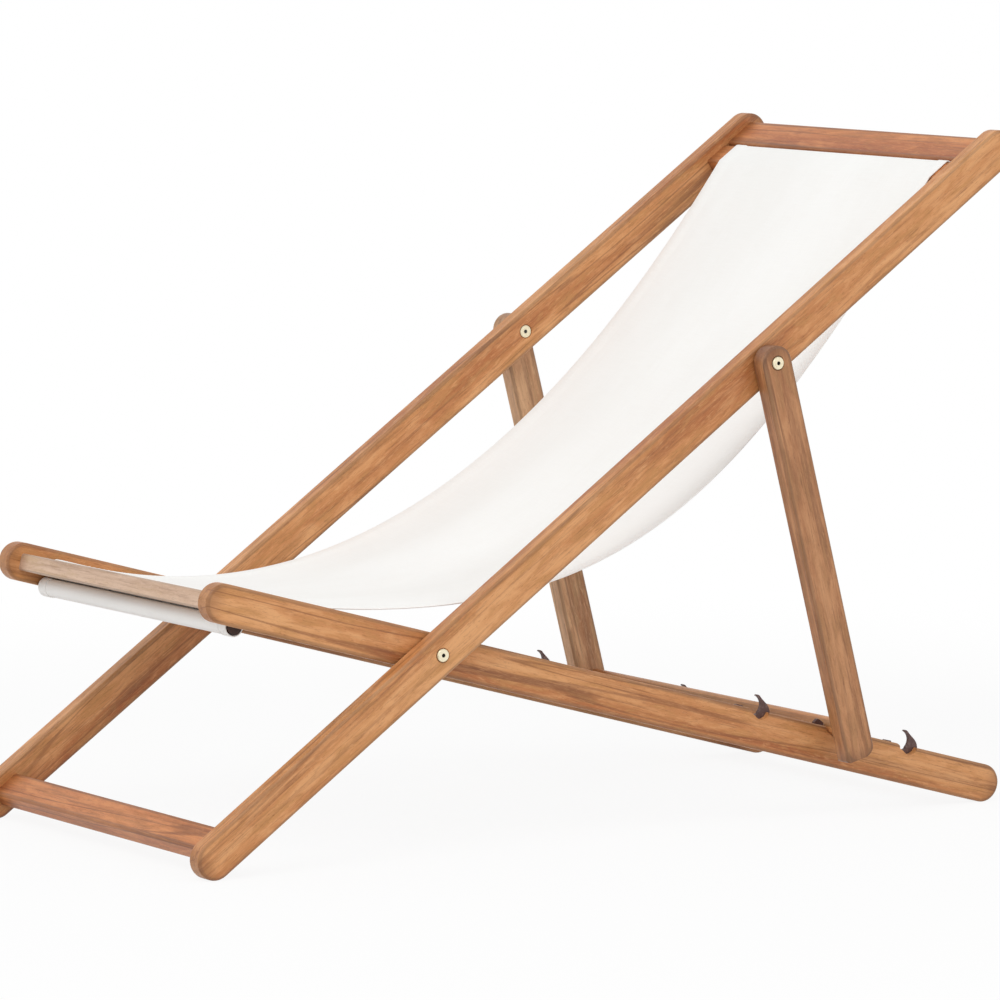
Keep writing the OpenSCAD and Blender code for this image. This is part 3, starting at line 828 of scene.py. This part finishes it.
    def cloth(self) -> tuple[bpy.types.Object, float, float]:
        """Builds the canvas.

        Returns:
            The piece, its flat width and its flat length.
        """
        section = self.profile()
        columns = len(section)
        rows = len(self.route(0.0))
        under = self.hem_steps + self.turn_steps // 2 + 1
        grid = bmesh.new()
        bmesh.ops.create_grid(grid, x_segments=columns - 1, y_segments=rows - 1, size=1.0)
        places = {}
        runs = {}
        for i, (x, height, _) in enumerate(section):
            line = self.route(x / self.half_width)
            points = [point for point, _ in line]
            normals = self.normals(points)
            doubled = i < under or i >= columns - under
            travelled = 0.0
            for j, (point, lift) in enumerate(line):
                if j:
                    travelled += (point - points[j - 1]).length
                offset = (height - 1 + lift) if height > 0 or doubled else 0.0
                places[i, j] = (x, point + offset * self.layer * normals[j])
                runs[i, j] = travelled
        layer_uv = grid.loops.layers.uv.new("UVMap")
        keys = {}
        for vert in grid.verts:
            i = round((vert.co.x + 1) / 2 * (columns - 1))
            j = round((vert.co.y + 1) / 2 * (rows - 1))
            keys[vert] = (i, j)
        for vert, (i, j) in keys.items():
            x, point = places[i, j]
            vert.co = (x, point.x, point.y)
        for face in grid.faces:
            for loop in face.loops:
                i, j = keys[loop.vert]
                loop[layer_uv].uv = (section[i][2], runs[i, j])
        grid.normal_update()
        for vert in grid.verts:
            vert.co += vert.normal * self.thick / 2
        bmesh.ops.solidify(grid, geom=grid.faces[:], thickness=self.thick)
        bmesh.ops.recalc_face_normals(grid, faces=grid.faces[:])
        piece = make_piece("canvas_cloth", grid, smooth=True)
        mean = sum(runs[i, rows - 1] for i in range(columns)) / columns
        return piece, section[-1][2], mean

    def stitches(self) -> bpy.types.Object:
        """Sews both side hems: short threads on the upper and the lower face."""
        stitch = bmesh.new()
        bmesh.ops.create_uvsphere(stitch, u_segments=6, v_segments=4, radius=0.5)
        pattern = bpy.data.meshes.new("stitch_pattern")
        stitch.to_mesh(pattern)
        stitch.free()
        thread = bmesh.new()
        first = len(self.mouth()) + 1
        for side in (-1, 1):
            x = side * (self.half_width - self.stitch_in)
            points = [point for point, _ in self.route(x / self.half_width)]
            normals = self.normals(points)
            travelled = 0.0
            due = self.stitch_pitch
            for j in range(first, len(points) - first):
                travelled += (points[j] - points[j - 1]).length
                if travelled < due:
                    continue
                due += self.stitch_pitch
                run = (points[j] - points[j - 1]).normalized()
                turn = Matrix.Rotation(math.atan2(run.y, run.x), 4, "X")
                for height in (self.layer + self.thick / 2, -self.thick / 2):
                    spot = points[j] + height * normals[j]
                    size = Matrix.Diagonal((self.stitch_thick, self.stitch_long,
                                            self.stitch_thick, 1.0))
                    place = Matrix.Translation((x, spot.x, spot.y)) @ turn @ size
                    one = pattern.copy()
                    one.transform(place)
                    thread.from_mesh(one)
                    bpy.data.meshes.remove(one)
        bpy.data.meshes.remove(pattern)
        return make_piece("hem_stitches", thread, smooth=True)

    def build(self) -> None:
        """Makes, dresses and hangs the sling."""
        cloth, width, length = self.cloth()
        threads = self.stitches()
        dress(cloth, Canvas().material())
        dress(threads, Canvas().material(thread=True))
        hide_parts("canvas_sling")
        pivot = self.view.pivot("seat_fold")
        for piece in (cloth, threads):
            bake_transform(piece)
        LOG.info("hung the sling, %.3f m wide and %.3f m long when flat", width, length)


def make_piece(name: str, mesh: bmesh.types.BMesh, smooth: bool = False) -> bpy.types.Object:
    """Turns a bmesh into an object at the origin.

    Args:
        name: The object's name.
        mesh: The bmesh, which is freed.
        smooth: Whether its faces are shaded smooth.

    Returns:
        The object.
    """
    for face in mesh.faces:
        face.smooth = smooth
    data = bpy.data.meshes.new(name)
    mesh.to_mesh(data)
    mesh.free()
    return show(name, data)


def show(name: str, data: bpy.types.ID) -> bpy.types.Object:
    """Puts a mesh, camera or light in the scene as an object at the origin."""
    thing = bpy.data.objects.new(name, data)
    bpy.context.scene.collection.objects.link(thing)
    return thing


@dataclass(frozen=True)
class Lamp:
    """One large square lamp aimed at the chair, in metres and watts."""

    name: str
    place: tuple[float, float, float]
    size: float
    power: float
    target: tuple[float, float, float] = (0.0, 0.0, 0.35)

    def hang(self) -> None:
        """Adds the lamp to the scene."""
        data = bpy.data.lights.new(self.name, "AREA")
        data.shape = "SQUARE"
        data.size = self.size
        data.energy = self.power
        aim(show(self.name, data), self.place, self.target)


def aim(thing: bpy.types.Object, place: Sequence[float], target: Sequence[float]) -> None:
    """Puts a camera or lamp at a place and points it at another."""
    thing.location = place
    ray = Vector(target) - thing.location
    thing.rotation_euler = ray.to_track_quat("-Z", "Y").to_euler()


@dataclass
class Studio:
    """The camera, the pale floor and the soft light.

    The camera's places are measured from the seat pivot's y, and its focal length is given
    in pixels of a picture that is picture_wide pixels wide.
    """

    view: SideView
    camera_at: Vector = field(default_factory=lambda: Vector((6.3540, -3.6892, 1.1530)))
    camera_to: Vector = field(default_factory=lambda: Vector((0.0, 0.2435, 0.3671)))
    focal_pixels: float = 6411.5
    picture_wide: float = 1000
    sensor: float = 36.0
    far: float = 200.0
    floor_radius: float = 60.0
    floor_grey: float = 0.82
    floor_white: float = 0.9
    white_from: float = 0.9
    white_by: float = 2.2
    sky: float = 0.7
    lamps: tuple[Lamp, ...] = (Lamp("key", (1.6, -2.6, 3.2), 2.4, 62.0),
                               Lamp("fill", (3.2, 1.8, 2.2), 2.2, 22.0))

    def place_camera(self) -> None:
        """Adds the camera at the photograph's viewing angle."""
        shift = Vector((0.0, self.view.pivot("seat_fold").x, 0.0))
        data = bpy.data.cameras.new("camera")
        data.sensor_width = self.sensor
        data.lens = self.focal_pixels / self.picture_wide * self.sensor
        data.clip_end = self.far
        camera = show("camera", data)
        aim(camera, self.camera_at + shift, self.camera_to + shift)
        bpy.context.scene.camera = camera

    def lay_floor(self) -> None:
        """Lays the floor, which keeps the chair's shadow near it and is white further off."""
        disc = bmesh.new()
        bmesh.ops.create_circle(disc, cap_ends=True, segments=64, radius=self.floor_radius)
        floor = make_piece("floor", disc)
        material, graph = new_surface("white_floor")
        here = graph.add("ShaderNodeTexCoord", None, None, "Object")
        away = graph.vector("LENGTH", here).output("Value").ramp(self.white_from, self.white_by)
        share = self.seen(graph) * (self.floor_white + (1 - self.floor_white) * away)
        grey = (self.floor_grey, self.floor_grey, self.floor_grey, 1.0)
        matt = graph.add("ShaderNodeBsdfDiffuse", None, {"Color": grey})
        white = graph.add("ShaderNodeEmission", None, {"Color": WHITE})
        surface = graph.add("ShaderNodeMixShader", None, {0: share, 1: matt, 2: white})
        graph.add("ShaderNodeOutputMaterial", None, {"Surface": surface})
        dress(floor, material)

    @staticmethod
    def seen(graph: Graph) -> Signal:
        """1 for rays that show a backdrop as it is, 0 for rays that light the object."""
        camera = graph.add("ShaderNodeLightPath", None, None, "Is Camera Ray")
        shown = graph.math("MAXIMUM", camera, camera.output("Is Glossy Ray"))
        return graph.math("MAXIMUM", shown, camera.output("Is Transmission Ray"))

    def light(self) -> None:
        """Lights the chair with a soft sky and two large lamps."""
        world = bpy.data.worlds.new("sky")
        world.use_nodes = True
        bpy.context.scene.world = world
        graph = Graph(world.node_tree)
        strength = self.seen(graph) * (1 - self.sky) + self.sky
        glow = graph.add("ShaderNodeBackground", None, {"Color": WHITE, "Strength": strength})
        graph.add("ShaderNodeOutputWorld", None, {"Surface": glow})
        for lamp in self.lamps:
            lamp.hang()

    def build(self) -> None:
        """Sets the stage."""
        bpy.context.scene.view_settings.view_transform = "Standard"
        self.place_camera()
        self.lay_floor()
        self.light()
        LOG.info("set the stage")


def named(start: str, nodes: Iterable[str]) -> list[str]:
    """The nodes whose names start with a word, in order."""
    return sorted(name for name in nodes if name.startswith(start))


def main() -> None:
    """Dresses the chair, hangs its sling and sets the stage."""
    logging.basicConfig(level=logging.INFO, format="%(message)s")
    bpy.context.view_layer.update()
    nodes = frame["nodes"]
    view = SideView({joint["name"]: joint for joint in frame["joints"]})
    Studio(view).build()
    back = WoodFrame({"back_rail_left": WARM, "back_rail_right": WARM},
                     {"foot_stretcher": SLAT, "top_slat": SLAT, "top_sling_bar": SLAT,
                      "top_sling_dowel": SHADED_DOWEL, "back_joint_pins": PALE},
                     view.back_angle, first_seed=10)
    seat = WoodFrame({"seat_rail_left": WARM, "seat_rail_right": WARM},
                     {"front_slat": PALE, "front_sling_bar": WARM, "rear_stretcher": WARM,
                      "front_sling_dowel": SHADED_DOWEL, "seat_joint_pins": PALE},
                     view.seat_angle, first_seed=30)
    # The left prop arm takes the lit copy of the arm wood and the right one the shaded copy, as
    # painted light and shade.
    prop = WoodFrame({"prop_arm_left": LIT_ARM, "prop_arm_right": SHADED_ARM}, {"prop_bar": WARM},
                     view.prop_angle, first_seed=50, rail_deep=20 * MM)
    for assembly in (back, seat, prop):
        assembly.finish(nodes)
    latches = [name for name in named("latch_", nodes) if name != "latch_pins"]
    metal = [name for name in nodes
             if "bolt" in name or "nut" in name or "washers" in name or name == "latch_pins"]
    Fittings(latches, metal, view).finish(nodes)
    Sling(view).build()


if __name__ == "__main__":
    main()
